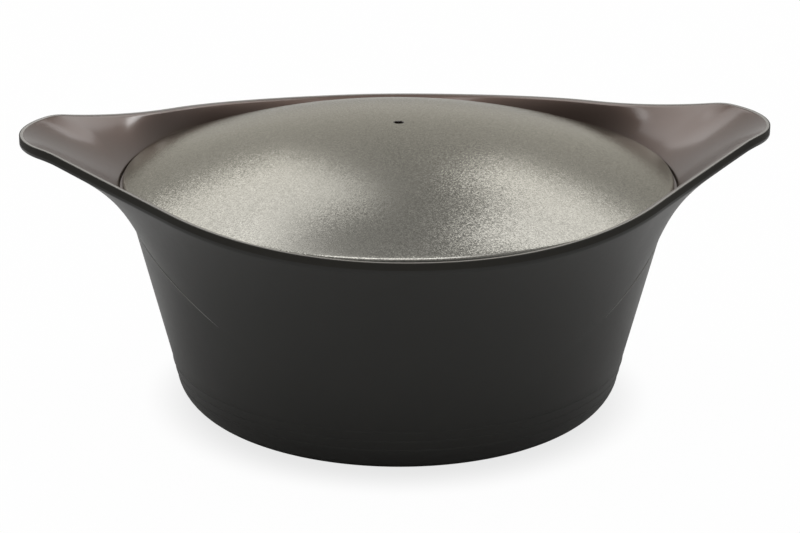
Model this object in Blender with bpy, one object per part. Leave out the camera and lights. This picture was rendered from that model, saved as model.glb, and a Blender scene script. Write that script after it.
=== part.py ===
"""A cast casserole pot for a 28 cm lid: a round, tapered vessel whose rim sweeps out and up
into two wing handles, and a plain domed lid that sits on a ledge inside the rim.

Everything is in metres with +Z up. The origin is on the vessel's axis, on the surface that its
foot stands on. The wings point along X and the pot is the same on both sides of both axes.

The vessel is one casting. Its surface is lofted through closed rings of points, one below the
other: round rings for the foot, the wall and the cavity, and rings that follow the winged
outline for the rim. Every ring has one point for each station of the outline, so the rings
join up in plain quads.
"""

from math import acos, atan2, cos, hypot, pi, radians, sin, sqrt, tan

import bmesh
import bpy

# Cavity and wall of the vessel
MOUTH_RADIUS = 0.1358
LEDGE_HEIGHT = 0.1156
WALL = 0.0036
FLOOR = 0.005
CAVITY_CORNER_RADIUS = 0.016
MOUTH_CHAMFER = 0.0005

# Foot: a flat ring round a shallow recess, then a round corner up to the wall
FOOT_RADIUS = 0.0965
FOOT_CORNER_RADIUS = 0.0192
FOOT_RING_WIDTH = 0.011
FOOT_RECESS = 0.0008
RECESS_SLOPE_WIDTH = 0.0015

# Fine steps round the bottom of the wall, facing up, with a leaning band below each
STEP_COUNT = 3
STEP_DEPTH = 0.00035
STEP_SPACING = 0.0051

# Rim: the ledge for the lid, the dished top, the flat land and the upright outer band
LEDGE_WIDTH = 0.0058
LEDGE_DEPTH = 0.0014
RIM_BORDER = 0.0086
RIM_ABOVE_LEDGE = 0.0057
RIM_BAND = 0.0049
RIM_EDGE_CHAMFER = 0.0006
RIM_LAND = 0.0024
LIP_WIDTH = 0.0012
LIP_DROP = 0.0008

# Wings, seen from above and from the front
WING_REACH = 0.0402
WING_TIP_RADIUS = 0.0477
WING_WAIST_RADIUS = 0.5
WING_SWEEP_RISE = 0.0271
SWEEP_EXPONENT = 2.4
SWEEP_LEVEL_share = 0.818
SWEEP_BLEND_share = 0.052
DISH_CROWN_share = 0.3

# Flare: from the crease on the round wall out to the rim. The crease is high under the wings
# and low, where it dies out, at the front and the back
CREASE_DROP = 0.0146
CREASE_FRONT_RISE = 0.0105
CREASE_KINK_share = 0.4
FLARE_EXPONENT = 3.0

# Lid
LID_CLEARANCE = 0.0016
SEAT_GAP = 0.0003
LID_EDGE_HEIGHT = 0.0035
LID_DOME_RISE = 0.0259
LID_THICKNESS = 0.0028
LID_SHOULDER_RADIUS = 0.0022
LID_EDGE_CHAMFER = 0.0005
LID_SKIRT_DEPTH = 0.0045
LID_SKIRT_THICKNESS = 0.0026
LID_SKIRT_CLEARANCE = 0.0008
VENT_DIAMETER = 0.005
VENT_CHAMFER = 0.0006

# How finely the round shapes are cut
TIP_SEGMENTS = 7
WAIST_SEGMENTS = 8
RIM_SEGMENTS = 13
CORNER_SEGMENTS = 5
DOME_SEGMENTS = 8
INNER_DOME_SEGMENTS = 5
SHOULDER_SEGMENTS = 3
LID_STEPS = 96
WALL_shares = (0.5,)
FLARE_shares = (0.28, 0.52, 0.72, 0.88)
DISH_shares = (0.75, 0.5, 0.25)
SHARP_ANGLE = radians(32)
MERGE_DISTANCE = 0.00001

# Sizes worked out from those above
LEDGE_RADIUS = MOUTH_RADIUS + LEDGE_WIDTH
RIM_RADIUS = LEDGE_RADIUS + RIM_BORDER
RIM_HEIGHT = LEDGE_HEIGHT + RIM_ABOVE_LEDGE
WING_TIP_X = RIM_RADIUS + WING_REACH
LID_RADIUS = LEDGE_RADIUS - LID_CLEARANCE
LID_SEAT = LEDGE_HEIGHT + SEAT_GAP


def clear_scene():
    """Removes whatever the file starts with."""
    for obj in list(bpy.data.objects):
        bpy.data.objects.remove(obj, do_unlink=True)


def finish(name, colour, roughness, metallic):
    """A plain painted or bare metal finish."""
    material = bpy.data.materials.new(name)
    material.use_nodes = True
    shader = material.node_tree.nodes["Principled BSDF"]
    shader.inputs["Base Color"].default_value = (*colour, 1.0)
    shader.inputs["Roughness"].default_value = roughness
    shader.inputs["Metallic"].default_value = metallic
    material.diffuse_color = (*colour, 1.0)
    return material


def place(name, mesh, material):
    """Links a mesh into the scene as a smooth-shaded object with sharp edges kept."""
    mesh.materials.append(material)
    mesh.shade_smooth()
    mesh.set_sharp_from_angle(angle=SHARP_ANGLE)
    obj = bpy.data.objects.new(name, mesh)
    bpy.context.scene.collection.objects.link(obj)
    return obj


def arc(centre, radius, start, end, segments):
    """Points on an arc, both ends among them."""
    return [
        (
            centre[0] + radius * cos(start + (end - start) * k / segments),
            centre[1] + radius * sin(start + (end - start) * k / segments),
        )
        for k in range(segments + 1)
    ]


def wall_tangent(corner_centre, corner_radius, through):
    """The line from a point down to a round corner that it touches, and its slope.

    Returns the touching point and how much the radius grows with height along the line.
    """
    dr = through[0] - corner_centre[0]
    dz = through[1] - corner_centre[1]
    normal = atan2(dz, dr) - acos(corner_radius / hypot(dr, dz))
    touch = (
        corner_centre[0] + corner_radius * cos(normal),
        corner_centre[1] + corner_radius * sin(normal),
    )
    return touch, -tan(normal)


# The line of the steps' outer edges: it touches the foot's corner, and the wall lies inside it
OUTER_TOUCH, WALL_SLOPE = wall_tangent(
    (FOOT_RADIUS, FOOT_CORNER_RADIUS),
    FOOT_CORNER_RADIUS,
    (MOUTH_RADIUS + WALL + STEP_DEPTH, LEDGE_HEIGHT),
)
TOP_STEP_HEIGHT = OUTER_TOUCH[1] + (STEP_COUNT - 1) * STEP_SPACING
CREASE_WING_HEIGHT = LEDGE_HEIGHT - CREASE_DROP
CREASE_FRONT_HEIGHT = TOP_STEP_HEIGHT + CREASE_FRONT_RISE


def wall_radius(height):
    """Outside radius of the round wall above its steps."""
    return OUTER_TOUCH[0] - STEP_DEPTH + (height - OUTER_TOUCH[1]) * WALL_SLOPE


def cavity_radius(height):
    """Radius of the cavity's straight wall."""
    return MOUTH_RADIUS - (LEDGE_HEIGHT - height) * WALL_SLOPE


def quarter_outline():
    """The rim's outline from above, from the wing's tip to the pot's front.

    It is three arcs, each running into the next: the wing's round tip, a long hollow waist and
    the circle round the lid. Each point comes with its outward direction.
    """
    tip_x = WING_TIP_X - WING_TIP_RADIUS
    to_tip = WING_TIP_RADIUS + WING_WAIST_RADIUS
    to_axis = RIM_RADIUS + WING_WAIST_RADIUS
    waist_x = (to_axis**2 - to_tip**2 + tip_x**2) / (2 * tip_x)
    waist_y = sqrt(to_axis**2 - waist_x**2)
    tip_end = atan2(waist_y, waist_x - tip_x)
    rim_start = atan2(waist_y, waist_x)
    stretches = (
        (tip_x, 0.0, WING_TIP_RADIUS, 0.0, tip_end, TIP_SEGMENTS),
        (waist_x, waist_y, -WING_WAIST_RADIUS, tip_end, rim_start, WAIST_SEGMENTS),
        (0.0, 0.0, RIM_RADIUS, rim_start, pi / 2, RIM_SEGMENTS),
    )
    points = []
    for x, y, radius, start, end, segments in stretches:
        for k in range(segments):
            angle = start + (end - start) * k / segments
            points.append(
                (x + radius * cos(angle), y + radius * sin(angle), cos(angle), sin(angle))
            )
    return points + [(0.0, RIM_RADIUS, 0.0, 1.0)]


def full_outline():
    """The whole outline, counter-clockwise from the tip of the +X wing."""
    quarter = quarter_outline()
    half = quarter + [(-x, y, -nx, ny) for x, y, nx, ny in reversed(quarter[:-1])]
    return half + [(x, -y, nx, -ny) for x, y, nx, ny in reversed(half[1:-1])]


def rim_height(x):
    """Height of the rim's top: level at the front, swept up along the wing, level at its tip."""
    sweep = WING_SWEEP_RISE * (abs(x) / WING_TIP_X) ** SWEEP_EXPONENT
    level = WING_SWEEP_RISE * SWEEP_LEVEL_share
    blend = WING_SWEEP_RISE * SWEEP_BLEND_share
    near = max(blend - abs(sweep - level), 0.0)
    return RIM_HEIGHT + min(sweep, level) - near**2 / (4 * blend)


class Stations:
    """The outline's stations, and the rings of points that have one point at each of them."""

    def __init__(self):
        self.outline = full_outline()
        self.turns = [atan2(y, x) for x, y, _, _ in self.outline]
        self.tops = [rim_height(x) for x, _, _, _ in self.outline]
        self.wingness = [cos(turn) ** 2 for turn in self.turns]

    def round_ring(self, radius, height):
        """A level circle."""
        return [(radius * cos(t), radius * sin(t), height) for t in self.turns]

    def rim_ring(self, inset, drop):
        """The winged outline, moved inwards and lowered from the rim's top."""
        return [
            (x - inset * nx, y - inset * ny, top - drop)
            for (x, y, nx, ny), top in zip(self.outline, self.tops)
        ]

    def crease_ring(self, share):
        """A line round the wall: the top step at share 0 and the crease at share 1."""
        ring = []
        for turn, wing in zip(self.turns, self.wingness):
            crease = CREASE_FRONT_HEIGHT + (CREASE_WING_HEIGHT - CREASE_FRONT_HEIGHT) * wing
            height = TOP_STEP_HEIGHT + (crease - TOP_STEP_HEIGHT) * share
            radius = wall_radius(height)
            ring.append((radius * cos(turn), radius * sin(turn), height))
        return ring

    def flare_ring(self, share):
        """A line on the flare: the crease at share 0 and the band's lower edge at share 1."""
        ring = []
        for (x, y, _, _), turn, top, wing in zip(
            self.outline, self.turns, self.tops, self.wingness
        ):
            crease = CREASE_FRONT_HEIGHT + (CREASE_WING_HEIGHT - CREASE_FRONT_HEIGHT) * wing
            band_foot = top - RIM_BAND
            height = crease + (band_foot - crease) * share
            reach = hypot(x, y) - wall_radius(band_foot)
            kink = CREASE_KINK_share * wing
            grown = kink * share + (1 - kink) * share**FLARE_EXPONENT
            radius = wall_radius(height) + reach * grown
            ring.append((radius * cos(turn), radius * sin(turn), height))
        return ring

    def dish_ring(self, share):
        """A line on the dished top: the ledge's outer edge at share 0, the lip at share 1."""
        inner = self.round_ring(LEDGE_RADIUS, LEDGE_HEIGHT + LEDGE_DEPTH)
        outer = self.rim_ring(RIM_LAND + LIP_WIDTH, LIP_DROP)
        risen = share + DISH_CROWN_share * share * (1 - share)
        return [
            (
                a[0] + (b[0] - a[0]) * share,
                a[1] + (b[1] - a[1]) * share,
                a[2] + (b[2] - a[2]) * risen,
            )
            for a, b in zip(inner, outer)
        ]


def loft(name, rings, first_pole, last_pole):
    """A closed mesh through rings of equal count, closed by a fan of triangles at each pole."""
    form = bmesh.new()
    first = form.verts.new(first_pole)
    last = form.verts.new(last_pole)
    rows = [[form.verts.new(point) for point in ring] for ring in rings]
    count = len(rows[0])
    for k in range(count):
        after = (k + 1) % count
        form.faces.new((first, rows[0][after], rows[0][k]))
        form.faces.new((last, rows[-1][k], rows[-1][after]))
        for lower, upper in zip(rows, rows[1:]):
            form.faces.new((lower[k], lower[after], upper[after], upper[k]))
    bmesh.ops.recalc_face_normals(form, faces=form.faces)
    mesh = bpy.data.meshes.new(name)
    form.to_mesh(mesh)
    form.free()
    return mesh


def foot_profile():
    """Radius and height from the foot's recess out and up to the top step."""
    ring_inside = FOOT_RADIUS - FOOT_RING_WIDTH
    corner_end = atan2(OUTER_TOUCH[1] - FOOT_CORNER_RADIUS, OUTER_TOUCH[0] - FOOT_RADIUS)
    profile = [(ring_inside - RECESS_SLOPE_WIDTH, FOOT_RECESS), (ring_inside, 0.0)]
    profile += arc(
        (FOOT_RADIUS, FOOT_CORNER_RADIUS),
        FOOT_CORNER_RADIUS,
        -pi / 2,
        corner_end,
        CORNER_SEGMENTS,
    )
    for step in range(STEP_COUNT):
        height = OUTER_TOUCH[1] + step * STEP_SPACING
        if step:
            profile.append((wall_radius(height) + STEP_DEPTH, height))
        profile.append((wall_radius(height), height))
    return profile


def cavity_profile():
    """Radius and height from the ledge's inner edge down the wall and in to the floor."""
    centre_height = FLOOR + CAVITY_CORNER_RADIUS
    normal = atan2(-WALL_SLOPE, 1.0)
    reach = CAVITY_CORNER_RADIUS / cos(normal)
    centre = (cavity_radius(centre_height) - reach, centre_height)
    below = LEDGE_HEIGHT - MOUTH_CHAMFER
    mouth = [(cavity_radius(below) + MOUTH_CHAMFER, LEDGE_HEIGHT), (cavity_radius(below), below)]
    return mouth + arc(centre, CAVITY_CORNER_RADIUS, normal, -pi / 2, CORNER_SEGMENTS)


def pot_body():
    """The vessel with its rim and wings, one casting."""
    stations = Stations()
    rings = [stations.round_ring(radius, height) for radius, height in foot_profile()]
    rings += [stations.crease_ring(share) for share in (*WALL_shares, 1.0)]
    rings += [stations.flare_ring(share) for share in (*FLARE_shares, 1.0)]
    rings += [
        stations.rim_ring(0.0, RIM_EDGE_CHAMFER),
        stations.rim_ring(RIM_EDGE_CHAMFER, 0.0),
        stations.rim_ring(RIM_LAND, 0.0),
    ]
    rings += [stations.dish_ring(share) for share in (1.0, *DISH_shares, 0.0)]
    rings.append(stations.round_ring(LEDGE_RADIUS, LEDGE_HEIGHT))
    rings += [stations.round_ring(radius, height) for radius, height in cavity_profile()]
    mesh = loft("pot_body", rings, (0.0, 0.0, FOOT_RECESS), (0.0, 0.0, FLOOR))
    coat = finish("charcoal_coating", (0.035, 0.034, 0.032), 0.42, 0.3)
    return place("pot_body", mesh, coat)


def lid_profile():
    """The lid's section, from the vent out over the dome, round the edge and back below."""
    vent = VENT_DIAMETER / 2
    edge_top = LID_SEAT + LID_EDGE_HEIGHT
    sphere = (LID_RADIUS**2 + LID_DOME_RISE**2) / (2 * LID_DOME_RISE)
    sphere_z = edge_top + LID_DOME_RISE - sphere
    shoulder_r = LID_RADIUS - LID_SHOULDER_RADIUS
    shoulder_z = sphere_z + sqrt((sphere - LID_SHOULDER_RADIUS) ** 2 - shoulder_r**2)
    dome_end = atan2(shoulder_z - sphere_z, shoulder_r)
    dome_start = acos((vent + VENT_CHAMFER) / sphere)
    skirt_foot = LID_SEAT - LID_SKIRT_DEPTH
    skirt_out = cavity_radius(skirt_foot) - LID_SKIRT_CLEARANCE
    skirt_in = skirt_out - LID_SKIRT_THICKNESS
    inner_sphere = sphere - LID_THICKNESS
    profile = arc((0.0, sphere_z), sphere, dome_start, dome_end, DOME_SEGMENTS)
    profile += arc(
        (shoulder_r, shoulder_z), LID_SHOULDER_RADIUS, dome_end, 0.0, SHOULDER_SEGMENTS
    )[1:]
    profile += [
        (LID_RADIUS, LID_SEAT + LID_EDGE_CHAMFER),
        (LID_RADIUS - LID_EDGE_CHAMFER, LID_SEAT),
        (skirt_out, LID_SEAT),
        (skirt_out, skirt_foot + LID_EDGE_CHAMFER),
        (skirt_out - LID_EDGE_CHAMFER, skirt_foot),
        (skirt_in, skirt_foot),
    ]
    profile += arc(
        (0.0, sphere_z),
        inner_sphere,
        acos(skirt_in / inner_sphere),
        acos(vent / inner_sphere),
        INNER_DOME_SEGMENTS,
    )
    profile.append((vent, profile[0][1] - VENT_CHAMFER))
    return profile


def lid():
    """The domed lid with its locating skirt and its round steam vent, turned about the axis."""
    profile = lid_profile()
    mesh = bpy.data.meshes.new("lid")
    count = len(profile)
    mesh.from_pydata(
        [(radius, 0.0, height) for radius, height in profile],
        [(k, (k + 1) % count) for k in range(count)],
        [],
    )
    coat = finish("warm_grey_metallic_coating", (0.23, 0.22, 0.19), 0.36, 0.75)
    obj = place("lid", mesh, coat)
    turn = obj.modifiers.new("turned", "SCREW")
    turn.axis = "Z"
    turn.angle = 2 * pi
    turn.steps = LID_STEPS
    turn.render_steps = LID_STEPS
    turn.use_merge_vertices = True
    turn.merge_threshold = MERGE_DISTANCE
    turn.use_smooth_shade = True
    return obj


def main():
    clear_scene()
    pot_body()
    lid()


main()
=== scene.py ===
"""Looks of a cast casserole pot: a round tapered vessel with wing handles and a loose domed lid.

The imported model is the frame. Both of its solids are faceted, so a fine mesh of the same form
stands for each: the vessel is lofted through rings of points, and the lid is a section turned
about the axis by a Geometry Nodes tree. A second tree lays a fine bead along the crease below
the wings. Lengths are in metres. The axes are the frame's: +Z is up and the wings lie along X.
"""

from __future__ import annotations

import logging
from collections.abc import Mapping, Sequence
from dataclasses import dataclass, field
from enum import Enum
from math import acos, atan2, cos, hypot, pi, radians, sin, sqrt, tan
from typing import Any

import bpy
import numpy as np
from mathutils import Matrix, Quaternion, Vector


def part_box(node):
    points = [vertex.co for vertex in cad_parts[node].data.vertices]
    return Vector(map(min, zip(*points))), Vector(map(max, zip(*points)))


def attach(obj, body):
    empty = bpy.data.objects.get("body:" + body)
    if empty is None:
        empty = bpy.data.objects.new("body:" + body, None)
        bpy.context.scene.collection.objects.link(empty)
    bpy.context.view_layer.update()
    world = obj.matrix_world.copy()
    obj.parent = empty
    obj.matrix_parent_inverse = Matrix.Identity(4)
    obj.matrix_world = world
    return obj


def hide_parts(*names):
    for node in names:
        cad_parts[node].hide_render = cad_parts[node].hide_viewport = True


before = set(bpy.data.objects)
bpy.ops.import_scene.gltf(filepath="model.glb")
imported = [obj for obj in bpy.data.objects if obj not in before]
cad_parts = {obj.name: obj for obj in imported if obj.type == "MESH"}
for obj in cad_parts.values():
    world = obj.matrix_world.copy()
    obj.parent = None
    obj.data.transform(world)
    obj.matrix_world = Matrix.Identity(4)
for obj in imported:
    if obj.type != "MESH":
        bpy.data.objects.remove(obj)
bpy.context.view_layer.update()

LOG = logging.getLogger("casserole")
CM3_PER_M3 = 1e6
SHARP_ANGLE = radians(34)
MERGE_DISTANCE = 0.00001
LONGEST_EASE_SHARE = 0.46
WHITE = (1.0, 1.0, 1.0, 1.0)

Colour = tuple[float, float, float]


class VesselZone(Enum):
    """The finishes that meet on the casting, in the order of its material slots."""

    OUTSIDE = 0
    BAND = 1
    INSIDE = 2
    BASE = 3
    LAND = 4


class Signal:
    """A number socket. Python's operators on it add Math nodes."""

    def __init__(self, sketch: NodeSketch, socket: bpy.types.NodeSocket) -> None:
        """Keeps the socket and the sketch that its nodes are added to."""
        self.sketch = sketch
        self.socket = socket

    def math(self, operation: str, *values: Any) -> Signal:
        """Adds one Math node, with its operands in order."""
        node = self.sketch.node("ShaderNodeMath", {"operation": operation}, dict(enumerate(values)))
        return Signal(self.sketch, node.outputs[0])

    def __add__(self, other: Any) -> Signal:
        """Sum."""
        return self.math("ADD", self, other)

    def __radd__(self, other: Any) -> Signal:
        """Sum with the number first."""
        return self.math("ADD", other, self)

    def __sub__(self, other: Any) -> Signal:
        """Difference."""
        return self.math("SUBTRACT", self, other)

    def __rsub__(self, other: Any) -> Signal:
        """Difference with the number first."""
        return self.math("SUBTRACT", other, self)

    def __mul__(self, other: Any) -> Signal:
        """Product."""
        return self.math("MULTIPLY", self, other)

    def __rmul__(self, other: Any) -> Signal:
        """Product with the number first."""
        return self.math("MULTIPLY", other, self)

    def __truediv__(self, other: Any) -> Signal:
        """Quotient."""
        return self.math("DIVIDE", self, other)

    def __rtruediv__(self, other: Any) -> Signal:
        """Quotient with the number first."""
        return self.math("DIVIDE", other, self)

    def applied(self, operation: str) -> Signal:
        """The result of a Math node that takes one number."""
        return self.math(operation, self)

    def clamped(self) -> Signal:
        """The value held between 0 and 1."""
        return self.math("MINIMUM", self.math("MAXIMUM", self, 0.0), 1.0)

    def rise(self, low: float, high: float) -> Signal:
        """A smooth step.

        Args:
            low: Where the result leaves 0.
            high: Where the result reaches 1.

        Returns:
            0 below low, 1 above high and a smooth rise between them.
        """
        node = self.sketch.node(
            "ShaderNodeMapRange",
            {"interpolation_type": "SMOOTHSTEP"},
            {"Value": self, "From Min": low, "From Max": high},
        )
        return Signal(self.sketch, node.outputs["Result"])


class NodeSketch:
    """Adds nodes and links to one node tree."""

    def __init__(self, tree: bpy.types.NodeTree) -> None:
        """Keeps the tree."""
        self.tree = tree

    @classmethod
    def cleared(cls, owner: bpy.types.Material | bpy.types.World) -> NodeSketch:
        """Starts on the emptied nodes of a material or the world."""
        owner.use_nodes = True
        owner.node_tree.nodes.clear()
        return cls(owner.node_tree)

    def node(
        self,
        kind: str,
        settings: Mapping[str, Any] | None = None,
        inputs: Mapping[str | int, Any] | None = None,
    ) -> bpy.types.Node:
        """Adds a node.

        Args:
            kind: The node's type.
            settings: Its properties, set first.
            inputs: What each socket gets, by name or number: a value, a socket or a signal.

        Returns:
            The new node.
        """
        node = self.tree.nodes.new(kind)
        for name, value in (settings or {}).items():
            setattr(node, name, value)
        for key, value in (inputs or {}).items():
            self.feed(node.inputs[key], value)
        return node

    def feed(self, socket: bpy.types.NodeSocket, value: Any) -> None:
        """Fills a socket.

        Args:
            socket: The socket to fill.
            value: A socket or a signal to link into it, or its own value.
        """
        source = value.socket if isinstance(value, Signal) else value
        if isinstance(source, bpy.types.NodeSocket):
            self.tree.links.new(source, socket)
        else:
            socket.default_value = source

    def signal(self, node: bpy.types.Node, output: str | int = 0) -> Signal:
        """One output of a node as a signal."""
        return Signal(self, node.outputs[output])

    def vector(self, operation: str, *values: Any) -> bpy.types.Node:
        """Adds one Vector Math node, with its operands in order."""
        return self.node("ShaderNodeVectorMath", {"operation": operation}, dict(enumerate(values)))

    def mix_colour(self, factor: Any, first: Any, second: Any) -> bpy.types.NodeSocket:
        """Mixes two colours.

        Args:
            factor: 0 for the first colour and 1 for the second.
            first: The first colour.
            second: The second colour.

        Returns:
            The colour between them.
        """
        sockets = {"Factor": 0, "A": 6, "B": 7}
        node = self.node(
            "ShaderNodeMix",
            {"data_type": "RGBA"},
            {sockets["Factor"]: factor, sockets["A"]: first, sockets["B"]: second},
        )
        return node.outputs[2]

    def rays(self) -> tuple[Signal, ...]:
        """The camera's rays, mirrored rays and rays through glass, each 1 or 0."""
        light_path = self.node("ShaderNodeLightPath")
        kinds = ("Is Camera Ray", "Is Glossy Ray", "Is Transmission Ray")
        return tuple(self.signal(light_path, kind) for kind in kinds)


@dataclass
class Surface:
    """A material's shader, and what a finish needs to dress it.

    Attributes:
        sketch: Adds the material's nodes.
        shader: The material's Principled shader.
        place: The piece's own coordinates.
    """

    sketch: NodeSketch
    shader: bpy.types.Node
    place: bpy.types.NodeSocket

    def feed(self, name: str, value: Any) -> None:
        """Fills one of the shader's sockets."""
        self.sketch.feed(self.shader.inputs[name], value)

    def noise(self, size: float, detail: float) -> Signal:
        """Reads soft noise over the piece.

        Args:
            size: About how large one patch is.
            detail: How many finer layers are added.

        Returns:
            A value about 0.5.
        """
        inputs = {"Vector": self.place, "Scale": 1 / size, "Detail": detail}
        return self.sketch.signal(self.sketch.node("ShaderNodeTexNoise", {}, inputs))

    def bump(self, height: Signal, depth: float) -> None:
        """Bends the shader's normal by a relief.

        Args:
            height: The relief's height, as a share of its depth.
            depth: How deep it is.
        """
        inputs = {"Strength": 1.0, "Distance": depth, "Height": height}
        self.feed("Normal", self.sketch.node("ShaderNodeBump", {}, inputs).outputs["Normal"])


@dataclass(frozen=True)
class Finish:
    """A coating or a bare metal, read in the piece's own coordinates.

    Attributes:
        name: The material's name.
        colour: The base colour.
        roughness: The mean roughness.
        metallic: 1 for bare metal and metallic coatings, 0 for other coatings.
        ior: The clear surface's refractive index.
        edge_tint: The tint of what it mirrors at a flat angle.
    """

    name: str
    colour: Colour
    roughness: float
    metallic: float = 0.0
    ior: float = 1.5
    edge_tint: Colour = (1.0, 1.0, 1.0)

    def material(self) -> bpy.types.Material:
        """Builds the material.

        Returns:
            A material with one Principled shader, dressed by the finish's own method.
        """
        material = bpy.data.materials.new(self.name)
        material.diffuse_color = (*self.colour, 1.0)
        sketch = NodeSketch.cleared(material)
        shader = sketch.node(
            "ShaderNodeBsdfPrincipled",
            {},
            {
                "Base Color": (*self.colour, 1.0),
                "Roughness": self.roughness,
                "Metallic": self.metallic,
                "IOR": self.ior,
                "Specular Tint": (*self.edge_tint, 1.0),
            },
        )
        place = sketch.node("ShaderNodeTexCoord").outputs["Object"]
        self.dress(Surface(sketch, shader, place))
        sketch.node("ShaderNodeOutputMaterial", {}, {"Surface": shader.outputs["BSDF"]})
        return material

    def dress(self, surface: Surface) -> None:
        """Adds what varies over the surface. A plain finish adds nothing."""

    def tones(self, surface: Surface, light: Signal, darkest: float, lightest: float) -> None:
        """Spreads the base colour over darker and lighter tones.

        Args:
            surface: The surface to dress.
            light: 0 where the colour is darkest and 1 where it is lightest.
            darkest: The darkest tone, as a share of the base colour.
            lightest: The lightest tone, as a share of the base colour.
        """
        dark, pale = (
            (*(channel * share for channel in self.colour), 1.0) for share in (darkest, lightest)
        )
        surface.feed("Base Color", surface.sketch.mix_colour(light, dark, pale))


@dataclass(frozen=True)
class SprayedCoat(Finish):
    """A sprayed coating with faint clouds and the fine peel that spraying leaves.

    Attributes:
        cloud_size: How large its lighter and darker patches are.
        cloud_depth: How much they differ in colour, as a share.
        peel_size: How large one dimple of the peel is.
        peel_depth: How deep the dimples are.
        patch_dimples: How many dimples wide a patch of finer unevenness is.
        cloud_share: How much of the uneven roughness follows the clouds.
        roughness_spread: How much the roughness varies.
    """

    cloud_size: float = 0.03
    cloud_depth: float = 0.12
    peel_size: float = 0.0009
    peel_depth: float = 0.000004
    patch_dimples: float = 3.0
    cloud_share: float = 0.6
    roughness_spread: float = 0.06

    def dress(self, surface: Surface) -> None:
        """Adds the clouds, the uneven roughness and the peel.

        Args:
            surface: The surface to dress.
        """
        clouds = surface.noise(self.cloud_size, detail=3.0)
        self.tones(surface, clouds, 1 - self.cloud_depth, 1 + self.cloud_depth)
        fine = surface.noise(self.peel_size * self.patch_dimples, detail=1.0)
        mixed = clouds * self.cloud_share + fine * (1 - self.cloud_share)
        surface.feed("Roughness", self.roughness + (mixed - 0.5) * self.roughness_spread * 2)
        surface.bump(surface.noise(self.peel_size, detail=1.0), self.peel_depth)


@dataclass(frozen=True)
class PearlCoat(SprayedCoat):
    """A sprayed pearl coating below a clear coat.

    Attributes:
        clear_weight: How much of the clear coat there is.
        clear_roughness: The clear coat's roughness.
        clear_ior: The clear coat's refractive index.
    """

    clear_weight: float = 1.0
    clear_roughness: float = 0.1
    clear_ior: float = 1.5

    def dress(self, surface: Surface) -> None:
        """Adds the clear coat to what a sprayed coating has.

        Args:
            surface: The surface to dress.
        """
        super().dress(surface)
        surface.feed("Coat Weight", self.clear_weight)
        surface.feed("Coat Roughness", self.clear_roughness)
        surface.feed("Coat IOR", self.clear_ior)


@dataclass(frozen=True)
class FlakeCoat(Finish):
    """A metallic coating full of small flakes that each face their own way.

    Attributes:
        flake_size: How large one flake looks.
        flake_tilt: How far a flake's own normal leans, as a share of the normal.
        flake_depth: How much the flakes differ in colour, as a share.
        glint_share: How much of the colour's change follows the flakes, not the clouds.
        cloud_size: How large the lighter and darker patches are.
    """

    flake_size: float = 0.0005
    flake_tilt: float = 0.085
    flake_depth: float = 0.32
    glint_share: float = 0.85
    cloud_size: float = 0.02

    def dress(self, surface: Surface) -> None:
        """Gives each flake its own colour and lean.

        Args:
            surface: The surface to dress.
        """
        sketch = surface.sketch
        inputs = {"Vector": surface.place, "Scale": 1 / self.flake_size}
        flakes = sketch.node("ShaderNodeTexVoronoi", {"feature": "F1"}, inputs).outputs["Color"]
        glint = sketch.signal(sketch.node("ShaderNodeSeparateColor", {}, {0: flakes}))
        clouds = surface.noise(self.cloud_size, detail=2.0)
        light = (glint * self.glint_share + clouds * (1 - self.glint_share)).clamped()
        self.tones(surface, light, 1 - self.flake_depth, 1 + self.flake_depth)
        normal = sketch.node("ShaderNodeNewGeometry").outputs["Normal"]
        centred = sketch.vector("SUBTRACT", flakes, (0.5, 0.5, 0.5)).outputs[0]
        tilt = (self.flake_tilt,) * 3
        leaning = sketch.vector("MULTIPLY_ADD", centred, tilt, normal).outputs[0]
        surface.feed("Normal", sketch.vector("NORMALIZE", leaning).outputs[0])


@dataclass(frozen=True)
class TurnedMetal(Finish):
    """Bare metal faced on a lathe, with fine grooves round the axis.

    Attributes:
        pitch: The distance from one groove to the next.
        groove_depth: How deep a groove is.
        stain_size: How large the stains are.
        stain_dark: The darkest stain, as a share of the base colour.
        stain_pale: The palest stain, as a share of the base colour.
        stain_roughness: How much the roughness varies with the stains.
    """

    pitch: float = 0.0011
    groove_depth: float = 0.00004
    stain_size: float = 0.018
    stain_dark: float = 0.8
    stain_pale: float = 1.15
    stain_roughness: float = 0.2

    def dress(self, surface: Surface) -> None:
        """Adds the grooves and a little staining.

        Args:
            surface: The surface to dress.
        """
        sketch = surface.sketch
        flat = sketch.vector("MULTIPLY", surface.place, (1.0, 1.0, 0.0)).outputs[0]
        reach = sketch.signal(sketch.vector("LENGTH", flat), "Value")
        turns = reach * (2 * pi / self.pitch)
        surface.bump(turns.applied("SINE"), self.groove_depth)
        stain = surface.noise(self.stain_size, detail=4.0)
        self.tones(surface, stain, self.stain_dark, self.stain_pale)
        surface.feed("Roughness", self.roughness + (stain - 0.5) * self.stain_roughness)


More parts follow.
